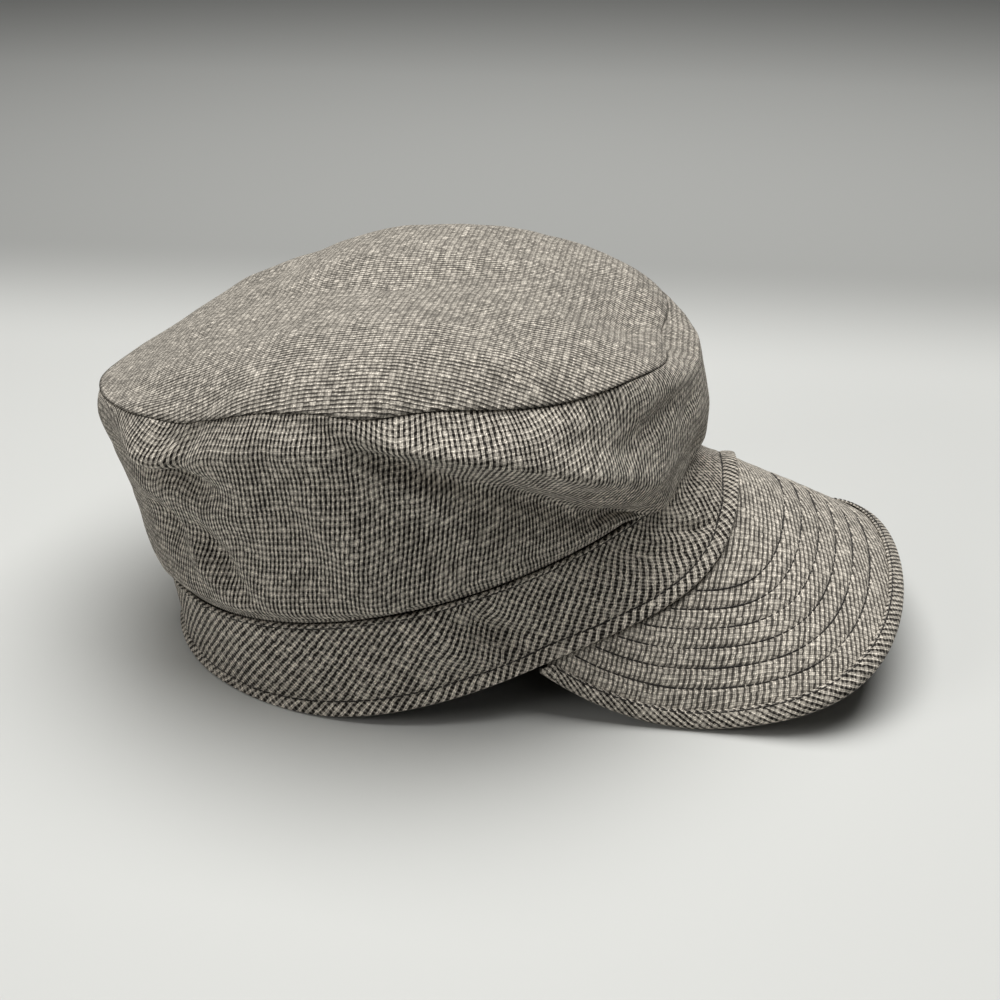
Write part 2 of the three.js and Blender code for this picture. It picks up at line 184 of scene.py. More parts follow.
def finishPiece(piece, name, material, nodes, fillEnds=False):
    bpy.ops.object.select_all(action="DESELECT")
    piece.select_set(True)
    bpy.context.view_layer.objects.active = piece
    bpy.ops.object.mode_set(mode="EDIT")
    bpy.ops.mesh.select_all(action="SELECT")
    bpy.ops.mesh.remove_doubles(threshold=0.000002)
    if fillEnds:
        bpy.ops.mesh.select_all(action="SELECT")
        bpy.ops.mesh.fill_holes(sides=0)
    bpy.ops.mesh.select_all(action="SELECT")
    bpy.ops.mesh.normals_make_consistent(inside=False)
    bpy.ops.object.mode_set(mode="OBJECT")
    bpy.ops.object.shade_smooth()
    piece.name = name
    piece.data.name = name
    piece.data.materials.clear()
    piece.data.materials.append(material)
    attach(piece, "root")
    if nodes:
        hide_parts(*nodes)
    piece.select_set(False)
    print(name, "has", len(piece.data.polygons), "faces")


def stitchRow(path, normals, closed):  # a sewing thread that dips into the cloth at every stitch
    run = runLength(path)
    count = int(round(run[-1] / stitch["pitch"]))
    at = np.linspace(0, run[-1], count * stitch["samples"] + 1)
    middle = np.stack([np.interp(at, run, path[:, k]) for k in range(3)], -1)
    high = unit(np.stack([np.interp(at, run, normals[:, k]) for k in range(3)], -1))
    along = unit(np.gradient(middle, axis=0))
    if closed:
        along[0] = along[-1] = unit(along[0] + along[-1])
    sideways = unit(np.cross(along, high))
    phase = (np.arange(len(at)) / stitch["samples"]) % 1.0
    lift = stitch["lift"] * np.sin(math.pi * phase) ** 0.6 - stitch["sink"]
    turn = np.linspace(0, 2 * math.pi, stitch["sides"] + 1)
    ring = high[:, None] * np.sin(turn)[None, :, None] + sideways[:, None] * np.cos(turn)[None, :, None]
    spots = (middle + high * lift[:, None])[:, None] + ring * stitch["radius"]
    uv = np.stack([at[:, None] + 0 * turn, 0 * at[:, None] + turn * stitch["radius"]], -1)
    return clothGrid(spots, uv)


def sewTogether(rows, name):
    bpy.ops.object.select_all(action="DESELECT")
    for row in rows:
        row.select_set(True)
    bpy.context.view_layer.objects.active = rows[0]
    if len(rows) > 1:
        bpy.ops.object.join()
    finishPiece(rows[0], name, darkThread, [], fillEnds=True)


# The cloth: pale threads in bright stripes, joined by dimmer rungs between dark blobs.

weave = {
    "columnPitch": 1.48,
    "rowPitch": 2.06,
    "darkThread": (0.013, 0.0105, 0.0085, 1),
    "paleThread": (0.80, 0.745, 0.66, 1),
    "softEdge": 0.08,
    "wobble": 0.16,
    "wanderScale": 330.0,
    "fibreScale": 1.7,
    "cloudScale": 70.0,
    "stripeTone": 0.72,
    "beadGain": 0.34,
    "rungTone": 0.08,
    "rungGain": 0.55,
    "fadedGain": 0.40,
    "leastTone": 0.26,
    "mostTone": 1.25,
    "fleckGain": 1.00,
    "cellGain": 0.18,
    "rowGain": 0.20,
    "fibreGain": 0.50,
    "cloudGain": 0.16,
    # painted shade: colour darker where a thread dips low and lighter along its raised middle
    "paintedShadeBase": 0.26,
    "paintedShadeGain": 0.90,
    "bumpHeight": 0.22,
    "roughness": 0.92,
    "sheen": 0.12,
    "sheenTint": (0.95, 0.92, 0.86, 1),
}


def addNode(tree, kind, settings=None, **inputs):  # i0, i1 and so on are the sockets by number
    node = tree.nodes.new(kind)
    for key, value in (settings or {}).items():
        setattr(node, key, value)
    for key, value in inputs.items():
        setInput(tree, node, int(key[1:]), value)
    return node


def setInput(tree, node, index, value):
    if isinstance(value, bpy.types.NodeSocket):
        tree.links.new(value, node.inputs[index])
    elif value is not None:
        node.inputs[index].default_value = value


def mathNode(tree, operation, a, b=None, c=None):
    node = tree.nodes.new("ShaderNodeMath")
    node.operation = operation
    for index, value in enumerate((a, b, c)):
        setInput(tree, node, index, value)
    return node.outputs[0]


def vectorNode(tree, operation, a, b=None, scale=None):
    node = tree.nodes.new("ShaderNodeVectorMath")
    node.operation = operation
    for index, value in ((0, a), (1, b), (3, scale)):
        setInput(tree, node, index, value)
    return node.outputs[0]


def flatNoise(tree, place, scale, detail):
    return addNode(tree, "ShaderNodeTexNoise", {"noise_dimensions": "2D"}, i0=place, i2=scale, i3=detail)


def cellNoise(tree, place):
    return addNode(tree, "ShaderNodeTexWhiteNoise", {"noise_dimensions": "2D"}, i0=place).outputs[0]


def softBand(tree, axis, share):  # 1 inside the share of every repeat, with soft edges
    offset = mathNode(tree, "ABSOLUTE", mathNode(tree, "SUBTRACT", mathNode(tree, "FRACT", axis), 0.5))
    soft = weave["softEdge"]
    return addNode(tree, "ShaderNodeMapRange", {"interpolation_type": "SMOOTHSTEP"},
                   i0=offset, i1=share / 2 - soft, i2=share / 2 + soft, i3=1.0, i4=0.0).outputs[0]


def weavePlaces(tree, turn, size):  # the turned cloth, and its repeats with threads that wander a little
    place = addNode(tree, "ShaderNodeUVMap", {"uv_map": "cloth"}).outputs[0]
    turned = addNode(tree, "ShaderNodeMapping", i0=place, i2=(0, 0, turn * degree)).outputs[0]
    repeats = (1 / (weave["columnPitch"] * size * mm), 1 / (weave["rowPitch"] * size * mm), 1)
    scaled = addNode(tree, "ShaderNodeMapping", i0=turned, i3=repeats).outputs[0]
    wander = flatNoise(tree, turned, weave["wanderScale"], 2.0).outputs["Color"]
    away = vectorNode(tree, "SUBTRACT", wander, (0.5, 0.5, 0.5))
    moved = vectorNode(tree, "SCALE", away, scale=weave["wobble"] * 2)
    return turned, vectorNode(tree, "ADD", scaled, moved)


def paleShare(tree, repeat, uneven, stripeAxis, stripe, rung, paintedSheen):
    # pale stripes with a bead where a dimmer rung meets them, and dark blobs in the corners left
    axes = addNode(tree, "ShaderNodeSeparateXYZ", i0=repeat)
    meet = softBand(tree, axes.outputs[1 - stripeAxis], rung)
    stripes = mathNode(tree, "MULTIPLY", softBand(tree, axes.outputs[stripeAxis], stripe),
                       mathNode(tree, "MULTIPLY_ADD", meet, weave["beadGain"], weave["stripeTone"]))
    rungs = mathNode(tree, "MULTIPLY", meet,
                     mathNode(tree, "MULTIPLY_ADD", uneven, weave["rungGain"], weave["rungTone"]))
    # random threads fade paler, and painted sheen lifts the dark threads of the top and peak copies
    fadedThreadsAndSheen = mathNode(tree, "MULTIPLY_ADD", mathNode(tree, "POWER", uneven, 5.0), weave["fadedGain"], paintedSheen)
    return mathNode(tree, "MAXIMUM", mathNode(tree, "MAXIMUM", stripes, rungs), fadedThreadsAndSheen)


def roundThread(tree, axis):
    offset = mathNode(tree, "MULTIPLY_ADD", mathNode(tree, "FRACT", axis), 2.0, -1.0)
    return mathNode(tree, "SUBTRACT", 1.0, mathNode(tree, "MULTIPLY", offset, offset))


def threadHeight(tree, x, y, row):  # the thread on top is highest along its own middle
    column = mathNode(tree, "FLOOR", x)
    over = mathNode(tree, "FLOORED_MODULO", mathNode(tree, "ADD", column, row), 2.0)
    roundX, roundY = roundThread(tree, x), roundThread(tree, y)
    overHeight = mathNode(tree, "MULTIPLY_ADD", roundY, 0.4, mathNode(tree, "MULTIPLY", roundX, 0.6))
    underHeight = mathNode(tree, "MULTIPLY_ADD", roundX, 0.4, mathNode(tree, "MULTIPLY", roundY, 0.6))
    return addNode(tree, "ShaderNodeMix", {"data_type": "FLOAT"},
                   i0=over, i2=underHeight, i3=overHeight).outputs[0]


def threadTone(tree, turned, threads, uneven, row, fibre):  # each crossing has a tone of its own
    speck = cellNoise(tree, vectorNode(tree, "FLOOR", threads))
    parts = {
        "fleckGain": mathNode(tree, "POWER", speck, 3.0),
        "cellGain": mathNode(tree, "POWER", uneven, 2.0),
        "rowGain": addNode(tree, "ShaderNodeTexWhiteNoise", {"noise_dimensions": "1D"}, i1=row).outputs[0],
        "fibreGain": fibre,
        "cloudGain": flatNoise(tree, turned, weave["cloudScale"], 3.0).outputs[0],
    }
    tone = weave["leastTone"]
    for gain, part in parts.items():
        tone = mathNode(tree, "MULTIPLY_ADD", part, weave[gain], tone)
    return tone


def roughenCloth(tree, shader, relief):
    bumps = addNode(tree, "ShaderNodeBump")
    bumps.inputs["Strength"].default_value = 1.0
    bumps.inputs["Distance"].default_value = weave["bumpHeight"] * mm
    tree.links.new(relief, bumps.inputs["Height"])
    tree.links.new(bumps.outputs[0], shader.inputs["Normal"])
    shader.inputs["Roughness"].default_value = weave["roughness"]
    shader.inputs["Specular IOR Level"].default_value = 0.25
    shader.inputs["Sheen Weight"].default_value = weave["sheen"]
    shader.inputs["Sheen Roughness"].default_value = 0.5
    shader.inputs["Sheen Tint"].default_value = weave["sheenTint"]


def weaveMaterial(name, turn=0.0, stripeAxis=0, stripe=0.46, rung=0.40, size=1.0, paintedSheen=0.0, tone=1.0):
    material = bpy.data.materials.new(name)
    material.use_nodes = True
    tree = material.node_tree
    shader = tree.nodes["Principled BSDF"]
    turned, repeat = weavePlaces(tree, turn, size)
    uneven = cellNoise(tree, vectorNode(tree, "FLOOR", repeat))
    pale = paleShare(tree, repeat, uneven, stripeAxis, stripe, rung, paintedSheen)

    # two threads each way in every repeat, with fibres along them
    threads = vectorNode(tree, "SCALE", repeat, scale=2.0)
    x, y = addNode(tree, "ShaderNodeSeparateXYZ", i0=threads).outputs[:2]
    row = mathNode(tree, "FLOOR", y)
    fibre = flatNoise(tree, threads, weave["fibreScale"], 3.0).outputs[0]
    height = threadHeight(tree, x, y, row)
    bright = threadTone(tree, turned, threads, uneven, row, fibre)
    # painted shade between threads: each thread's low parts are darkened and its middle lightened
    paintedThreadShade = mathNode(tree, "MULTIPLY_ADD", height, weave["paintedShadeGain"], weave["paintedShadeBase"])
    # tone makes a whole copy of the cloth lighter or darker: painted light on the band copy, painted shade
    # on the top copy
    shade = mathNode(tree, "MULTIPLY", mathNode(tree, "MULTIPLY", bright, paintedThreadShade), tone)
    shade = mathNode(tree, "MINIMUM", shade, weave["mostTone"])

    colour = addNode(tree, "ShaderNodeMix", {"data_type": "RGBA"},
                     i0=pale, i6=weave["darkThread"], i7=weave["paleThread"]).outputs[2]
    tree.links.new(vectorNode(tree, "SCALE", colour, scale=shade), shader.inputs["Base Color"])
    roughenCloth(tree, shader, mathNode(tree, "MULTIPLY_ADD", fibre, 0.35, height))
    return material


def threadMaterial(name, colour):
    material = bpy.data.materials.new(name)
    material.use_nodes = True
    tree = material.node_tree
    shader = tree.nodes["Principled BSDF"]
    place = addNode(tree, "ShaderNodeUVMap", {"uv_map": "cloth"}).outputs[0]
    twist = addNode(tree, "ShaderNodeTexWave", {"bands_direction": "DIAGONAL"},
                    i0=place, i1=1500.0, i2=1.5).outputs[1]
    fuzz = flatNoise(tree, place, 2500.0, 2.0).outputs[0]
    # the twist's crests are painted lighter and its grooves darker: painted highlight and shade along the
    # thread, with random fuzz tone
    amount = mathNode(tree, "MULTIPLY_ADD", twist, 0.5, mathNode(tree, "MULTIPLY_ADD", fuzz, 0.8, 0.3))
    tree.links.new(vectorNode(tree, "SCALE", colour, scale=amount), shader.inputs["Base Color"])
    relief = addNode(tree, "ShaderNodeBump")
    relief.inputs["Distance"].default_value = 0.08 * mm
    tree.links.new(twist, relief.inputs["Height"])
    tree.links.new(relief.outputs[0], shader.inputs["Normal"])
    shader.inputs["Roughness"].default_value = 0.75
    shader.inputs["Sheen Weight"].default_value = 0.2
    return material


darkThread = threadMaterial("sewing_thread", (0.030, 0.026, 0.022))
straightCloth = weaveMaterial("nailhead_straight")
# the top's copy: painted shade makes it darker, and painted sheen lifts its dark threads
topCloth = weaveMaterial("nailhead_top", paintedSheen=0.13, tone=0.86)
# the peak's copy: painted sheen lifts its dark threads
peakCloth = weaveMaterial("nailhead_peak", turn=102, stripe=0.50, size=1.08, paintedSheen=0.16)
# the band's copy: painted light makes it lighter
bandCloth = weaveMaterial("nailhead_bias", turn=-45, stripeAxis=1, tone=1.08)
bindingCloth = weaveMaterial("nailhead_tape", turn=-45, stripeAxis=1)
print("cloth materials made")


# The head band: a bias strip with a flared hem below and a stitched edge above.

band = {
    "rings": [  # up, x, half length, half width, egg, back, side, front
        (0.00, -16.0, 100.4, 85.6, 0.12, 0.0, 7.3, 56.8),
        (0.35, -20.6, 97.1, 86.1, 0.11, 9.2, 18.5, 58.8),
        (0.70, -24.4, 94.4, 86.5, 0.10, 18.3, 30.0, 62.4),
        (1.00, -26.2, 93.7, 86.5, 0.09, 26.2, 39.3, 67.4),
    ],
    "folds": [  # at, up, along, across, turn, depth, sag
        (-27, 0.36, 11, 3, -50, -2.6, 0),
        (-37, 0.46, 9, 4, -35, -2.0, 0),
        (-15, 0.50, 13, 8, 0, 2.2, 0),
        (-48, 0.50, 12, 8, 0, 0.8, 0),
        (-71, 0.46, 14, 5, -58, -4.6, 0),
        (-80, 0.58, 14, 6, -60, 3.6, 0),
        (30, 0.50, 12, 7, 20, -1.4, 0),
    ],
    "moves": [  # at, wide, length added at the hem, pull inwards
        (-39, 20, 8.3, 0),
        (39, 20, 8.3, 0),
        (4, 22, 0, 4.0),
    ],
    "crumples": [(0.22, 26, 11)],  # amount, size, seed
    "radius": 92,  # the folds' scale, round the band and up it
    "height": 31,
    "thick": 2.2,
    "hem": 4.6,
    "hemFlare": 1.9,
    "hemGroove": (0.70, 0.55),  # depth, width
    "edgeStitch": 1.9,
    "edgeGroove": (0.50, 0.45),
    "edgeRidge": (0.75, 0.8),
    "edgeRoll": 0.55,
    "tableRest": (8, 1.5, 0.25),  # reach, softness, sink
    "columns": 540,
    "outerRows": 58,
    "innerRows": 16,
    "stitchColumns": 720,
}


def bandSpot(angle, up):
    def plain(a, u):
        return ringSpot(band["rings"], a, u)
    angle, up = np.broadcast_arrays(np.asarray(angle, float), np.asarray(up, float))
    along, inwards = wallFrame(plain, angle, up)
    depth = foldShifts(band, angle, up)[0] * np.sin(math.pi * np.clip(up, 0, 1))[..., None]
    spot = plain(angle, up) - inwards * depth - along * (moveAt(band, angle, 2) * (1 - up))[..., None]
    return pulled(spot, angle, moveAt(band, angle, 3))


def bandHeight(angle):
    ups = np.linspace(0, 1, 25)
    spots = bandSpot(np.asarray(angle, float)[..., None], ups)
    return runLength(spots)[..., -1]


def restOnTable(z):  # the hem settles softly where it meets the table
    reach, softness, sink = band["tableRest"]
    soft = 0.5 * (z + np.sqrt(z * z + softness))
    return np.where(z > reach, z, np.maximum(0, soft - sink * (1 - np.clip(z / reach, 0, 1))))


def bandRelief(angle, up, height):  # how far the outer face stands out, besides its folds
    low = up * height
    high = (1 - up) * height
    hem = band["hem"]
    flare = band["hemFlare"] * np.clip(1 - low / hem, 0, 1) ** 0.8
    wave = np.sin(angle * degree * band["radius"] * 2 * math.pi / stitch["pitch"])
    pucker = 0.7 + 0.5 * (0.5 + 0.5 * wave)
    hemDepth, hemWide = band["hemGroove"]
    edgeDepth, edgeWide = band["edgeGroove"]
    ridge, ridgeWide = band["edgeRidge"]
    hemGroove = hemDepth * bump(low, hem + 0.2, hemWide) * pucker
    edgeGroove = edgeDepth * bump(high, band["edgeStitch"], edgeWide) * pucker
    return flare - hemGroove + ridge * bump(high, 0.8, ridgeWide) - edgeGroove


def bandFace(angle, up, height):
    roll = band["thick"] / 2
    fromEdge = np.minimum(up, 1 - up) * height
    roll = np.where(up > 0.5, band["edgeRoll"] * roll, roll)
    rolled = roll * (1 - edgeRound(fromEdge, roll))
    uneven = crumple(band, bandSpot(angle, up)) * ease(fromEdge, 0, 5)
    spots = beside(bandSpot, angle, up, rolled - bandRelief(angle, up, height) - uneven, 0)
    spots[..., 2] = restOnTable(spots[..., 2])
    return spots


def makeBandStitches():
    angle = np.linspace(-180, 180, band["stitchColumns"] + 1)
    height = bandHeight(angle)
    rows = []
    for up in ((band["hem"] + 0.15) / height, 1 - band["edgeStitch"] / height):
        path = bandFace(angle, up, height)
        rows.append(stitchRow(path, -wallFrame(bandSpot, angle, up)[1], True))
    sewTogether(rows, "bandStitches")


def makeBand():
    angle = np.linspace(-180, 180, band["columns"] + 1)[:, None]
    height = bandHeight(angle[:, 0])[:, None]
    roll = band["thick"] / 2
    outerUps = np.linspace(0, 1, band["outerRows"])[None, :] + 0.0 * angle
    outer = bandFace(angle, outerUps, height)
    innerUps = np.linspace(1, 0, band["innerRows"])[None, :] + 0.0 * angle
    fromEdge = np.minimum(innerUps, 1 - innerUps) * height
    inner = beside(bandSpot, angle, innerUps, roll + roll * edgeRound(fromEdge, roll), 0)
    spots = np.concatenate([outer, inner[:, 1:-1], outer[:, :1]], 1)
    spots[..., 2] = restOnTable(spots[..., 2])
    run = runLength(bandSpot(angle[:, 0], np.full(len(angle), 0.5)))
    uv = np.stack([run[:, None] + 0 * spots[..., 0], runLength(spots)], -1)
    piece = clothGrid(spots, uv)
    finishPiece(piece, "headBand", bandCloth, ["band"])


makeBand()
makeBandStitches()


# The crown's side wall, from inside the band over its edge and up to the top seam.

crown = {
    "rings": [  # up, x, half length, half width, egg, back, side, front
        (0.00, -26.4, 92.8, 85.4, 0.09, 26.9, 40.0, 68.1),
        (0.10, -28.4, 97.4, 89.6, 0.05, 32.0, 44.5, 70.6),
        (0.37, -30.6, 100.0, 91.8, -0.03, 47.5, 66.3, 82.0),
        (0.70, -34.5, 101.8, 93.6, -0.03, 66.6, 90.4, 94.5),
        (0.90, -37.8, 102.1, 94.9, -0.02, 78.1, 105.0, 101.3),
        (1.00, -38.8, 100.6, 95.8, -0.02, 85.2, 112.2, 104.7),
    ],
    "folds": [  # at, up, along, across, turn, depth, sag
        (-62, 0.68, 34, 18, -16, 5.0, 0),
        (-73, 0.85, 26, 5.5, -20, 6.0, 1.5),
        (-49, 0.58, 20, 6.5, -33, 6.0, 2.5),
        (-80, 0.71, 21, 4.5, -31, -7.5, 0),
        (-55, 0.32, 24, 7, -37, -8.5, 0),
        (-39, 0.12, 14, 4.5, -12, -7.0, 0),
        (-93, 0.36, 24, 7, -66, 4.5, 0),
        (-79, 0.36, 24, 7, -58, -3.5, 0),
        (-66, 0.40, 23, 14, -48, -9.0, 0),
        (-34, 0.34, 16, 8, -6, 3.0, 1.5),
        (-30, 0.66, 24, 5.5, 18, -2.8, 0),
        (-17, 0.62, 8, 4, 30, -1.8, 0),
        (-33, 0.07, 15, 7, 0, 3.5, 4.5),
        (-14, 0.18, 9, 8, 0, -2.5, 0),
        (2, 0.84, 34, 9, 0, 0.8, -1.0),
        (-131, 0.87, 13, 6, -12, 6.0, 1.0),
        (-121, 0.86, 11, 4, 58, -2.6, 0),
        (-126, 0.70, 15, 5, -14, -6.0, 0),
        (-136, 0.40, 10, 6, -30, -4.6, 0),
        (-121, 0.28, 13, 4.5, -50, -4.4, 0),
        (-128, 0.29, 10, 4, -50, 2.0, 0),
        (-112, 0.60, 13, 8, 40, 2.4, 0),
        (-140, 0.60, 14, 6, -10, 1.8, 0),
        (-104, 0.86, 5, 9, 0, -1.4, 0),
        (-110, 0.85, 34, 8.5, 0, 3.2, 0),
        (-98, 0.88, 5, 9, 0, 1.0, 0),
        (40, 0.52, 26, 7, -14, -3.0, 0),
        (86, 0.62, 28, 9, 6, -3.0, 0),
        (128, 0.42, 24, 8, 16, -3.0, 0),
        (178, 0.50, 20, 10, 0, -2.5, 0),
    ],
    "moves": [  # at, wide, drop of the top seam, pull inwards
        (-165, 14, -2.0, 0),
        (-122, 10, 3.6, 1.5),
        (-84, 10, 1.0, 0),
        (-53, 16, 2.6, 0),
        (-28, 10, -1.2, 0),
        (-78, 36, 2.8, 6.0),
        (-118, 18, 1.1, 2.4),
        (2, 15, 0.5, 9.0),
        (62, 16, 1.4, 0),
        (118, 14, 1.4, 0),
        (152, 20, 2.8, 0),
    ],
    "crumples": [(0.30, 30, 5), (0.12, 13, 6)],  # amount, size, seed
    "lean": [  # how far the upright threads lean, away from the middle of the front
        (0, 0),
        (35, 0.50),
        (68, 0.24),
        (90, 0.17),
        (120, 0.26),
        (180, 0),
    ],
    "leanHeight": 75,
    "radius": 95,  # the folds' scale, round the wall and up it
    "height": 68,
    "seamHeight": 62,  # from the band's edge up to the seam
    "seamRoll": (0.30, 0.4),  # depth, width
    "seamDip": (0.35, 1.6),
    "thick": 1.5,
    "columns": 540,
    "outerRows": 96,
    "innerRows": 30,
}


def crownSpot(angle, up):
    angle, up = np.broadcast_arrays(np.asarray(angle, float), np.asarray(up, float))

    def plain(a, u):
        return ringSpot(crown["rings"], a, u)
    out, drop = foldShifts(crown, angle, up)
    held = np.clip(up / 0.08, 0, 1)  # the band holds the cloth where it comes out
    spot = plain(angle, up) - wallFrame(plain, angle, up)[1] * out * held[..., None]
    spot[..., 2] -= drop * held + moveAt(crown, angle, 2) * up**3
    return pulled(spot, angle, moveAt(crown, angle, 3) * ease(up, 0.82, 1))


def makeCrownSide():
    angle = np.linspace(-180, 180, crown["columns"] + 1)[:, None]
    tuck = band["thick"] + seamGap
    thick = crown["thick"]
    hidden = [  # inside the band, then over its edge
        beside(bandSpot, angle, 0.80, tuck, 0),
        beside(bandSpot, angle, 1.0, tuck, 0),
        beside(bandSpot, angle, 1.0, tuck - 0.3, seamGap),
        beside(bandSpot, angle, 1.0, 0.5, seamGap + 0.02),
    ]
    ups = np.linspace(0.02, 1, crown["outerRows"])[None, :] + 0.0 * angle
    fromSeam = (1 - ups) * crown["seamHeight"]
    roll, rollWide = crown["seamRoll"]
    dip, dipWide = crown["seamDip"]
    uneven = crumple(crown, crownSpot(angle, ups)) * ease(ups, 0, 0.12)
    inward = roll * (1 - edgeRound(fromSeam, rollWide)) - uneven + dip * bump(fromSeam, 0.0, dipWide)
    outer = beside(crownSpot, angle, ups, inward, 0)
    innerUps = np.linspace(1, 0.06, crown["innerRows"])[None, :] + 0.0 * angle
    inner = beside(crownSpot, angle, innerUps, thick, 0)
    inside = [
        beside(bandSpot, angle, 1.0, 1.9, seamGap + thick),
        beside(bandSpot, angle, 1.0, tuck + thick, 1.0),
        beside(bandSpot, angle, 0.80, tuck + thick, 0),
    ]
    spots = np.concatenate([*hidden, outer, inner, *inside, hidden[0]], 1)
    run = runLength(crownSpot(angle[:, 0], np.full(len(angle), 0.5)))
    lean = np.interp(np.abs(angle), *zip(*crown["lean"])) * np.sign(angle)
    leant = (spots[..., 2] - crown["leanHeight"]) * lean
    uv = np.stack([run[:, None] + leant, runLength(spots)], -1)
    piece = clothGrid(spots, uv)
    finishPiece(piece, "crownSide", straightCloth, ["crown_side"])


makeCrownSide()


# The oval top panel, with its edge turned down inside the side wall.

top = {
    "rise": 22.4,
    "fullness": 2.6,
    "folds": [  # x, y, along, across, turn, rise
        (43, -6, 20, 9, 84, -3.6),
        (40, 46, 22, 14, 120, 2.0),
        (-104, -58, 20, 6, -38, -1.8),
        (8, -74, 30, 7, 6, -1.0),
        (-70, -30, 34, 16, 60, -1.5),
        (-85, 48, 34, 16, 40, -2.4),
    ],
    "crumples": [(0.35, 34, 21), (0.10, 14, 22)],  # amount, size, seed
    "columns": 360,
    "outerRows": 84,
    "innerRows": 26,
}


def topSpot(angle, share):
    angle, share = np.broadcast_arrays(np.asarray(angle, float), np.asarray(share, float))
    seam = ringSpot(crown["rings"], angle, np.ones_like(share))
    last = crown["rings"][-1]
    middle = (last[7] + last[5]) / 2
    x = last[1] + (seam[..., 0] - last[1]) * share
    y = seam[..., 1] * share
    z = middle + (seam[..., 2] - middle) * share + top["rise"] * (1 - np.abs(share) ** top["fullness"])
    for foldX, foldY, along, across, turn, rise in top["folds"]:
        c, s = math.cos(turn * degree), math.sin(turn * degree)
        p = ((x - foldX) * c + (y - foldY) * s) / along
        q = ((y - foldY) * c - (x - foldX) * s) / across
        z = z + rise * np.exp(-p * p - q * q) * np.clip((1 - share) / 0.08, 0, 1)
    follow = np.clip((share - 0.75) / 0.25, 0, 1) ** 2
    shift = crownSpot(angle, np.ones_like(share)) - seam
    return np.stack([x, y, z], -1) + shift * follow[..., None]


def topNormal(angle, share):
    share = np.maximum(share, 0.02)
    across = topSpot(angle + 1, share) - topSpot(angle - 1, share)
    inwards = topSpot(angle, share - 0.01) - topSpot(angle, share + 0.01)
    return unit(np.cross(across, inwards))


def makeCrownTop():
    angle = np.linspace(-180, 180, top["columns"] + 1)[:, None]
    tuck = crown["thick"] + seamGap
    thick = crown["thick"]
    shares = np.linspace(0, 0.985, top["outerRows"])[None, :] + 0.0 * angle
    outer = topSpot(angle, shares)
    uneven = crumple(top, outer) * ease(1 - shares, 0.0, 0.06)
    outer = outer + topNormal(angle, shares) * uneven[..., None]
    turned = [  # over the seam, down inside the side wall and back up
        beside(crownSpot, angle, 1.0, 0.25, 0.28),
        beside(crownSpot, angle, 1.0, 0.7, 0.20),
        beside(crownSpot, angle, 1.0, tuck, 0.20),
        beside(crownSpot, angle, 0.95, tuck, 0),
        beside(crownSpot, angle, 0.95, tuck + thick, 0),
        beside(crownSpot, angle, 1.0, tuck + thick, -0.8),
        beside(crownSpot, angle, 1.0, tuck + thick, 0.2),
        beside(crownSpot, angle, 1.0, tuck + thick + 0.6, 0.6),
    ]
    innerShares = np.linspace(0.94, 0, top["innerRows"])[None, :] + 0.0 * angle
    inner = topSpot(angle, innerShares) - topNormal(angle, innerShares) * thick
    inner[:, -1] = inner[:, -1].mean(0)
    outer[:, 0] = outer[:, 0].mean(0)
    spots = np.concatenate([outer, *turned, inner], 1)
    seam = topSpot(angle[:, 0], np.ones(len(angle)))
    heading = np.arctan2(seam[:, 1], seam[:, 0] - crown["rings"][-1][1])[:, None]

    # the cloth runs out to the turned edge, and the inner face runs back to the middle
    reach = runLength(spots)
    rim = outer.shape[1] + 4
    rimReach, whole = reach[:, rim:rim + 1], reach[:, -1:]
    reach[:, rim:] = rimReach * (whole - reach[:, rim:]) / (whole - rimReach)
    uv = np.stack([reach * np.sin(heading), reach * np.cos(heading)], -1)
    piece = clothGrid(spots, uv)
    finishPiece(piece, "crownTop", topCloth, ["crown_top"])


makeCrownTop()


# The peak: a stiff curved sheet with rows of stitching, and a tape folded over its edge.

peak = {
    "halfAngle": 70.3,
    "tipX": 139.8,
    "drift": -1.6,
    "tipZ": 22.7,
    "rootZ": 18.8,
    "widen": 0.61,
    "restShare": 0.42,
    "tipCurve": 1.6,
    "noseShape": 0.6,
    "edgeLift": 0.9,
    "thick": 1.7,
    "stitchRows": 6,
    "stitchSpacing": 7.0,
    "puff": 0.22,
    "groove": (0.45, 0.55),  # depth, width
    "crumples": [(0.16, 24, 31)],  # amount, size, seed
    "stations": 360,
    "stitchStations": 1200,
    "rows": 110,
    "underRows": 24,
}

binding = {
    "thick": 0.75,
    "width": 6.5,
    "puff": 0.22,
    "stitchAt": 0.16,  # share of the way from the inner edge outwards
    "groove": (0.30, 0.07),
    "topRows": 14,
    "turnRows": 11,
    "underRows": 10,
}


def stationShare(count):  # stations round the edge, closer together towards its two ends
    i = np.arange(count + 1)
    return 0.5 * i / count + 0.5 * (0.5 - 0.5 * np.cos(math.pi * i / count))


def peakEdge(shares):
    x, a, b, egg = band["rings"][0][1:5]
    c = math.cos(peak["halfAngle"] * degree)
    rootX = x + a * c
    rootY = b * math.sin(peak["halfAngle"] * degree) * (1 - egg * c)
    turn = np.linspace(-0.5, 0.5, 4001) * math.pi
    forward = np.abs(np.cos(turn)) ** peak["noseShape"]
    rest = np.maximum(0, 1 - forward / peak["restShare"])
    rise = np.maximum(0, (forward - peak["restShare"]) / (1 - peak["restShare"]))
    dense = np.stack([
        rootX + (peak["tipX"] - rootX) * forward,
        rootY * np.sin(turn) * (1 + peak["widen"] * np.cos(turn) ** 2) + peak["drift"] * forward**2,
        peak["rootZ"] * rest**2 + peak["tipZ"] * rise ** peak["tipCurve"] + peak["edgeLift"],
    ], -1)
    run = runLength(dense)
    return np.stack([np.interp(shares * run[-1], run, dense[:, k]) for k in range(3)], -1)


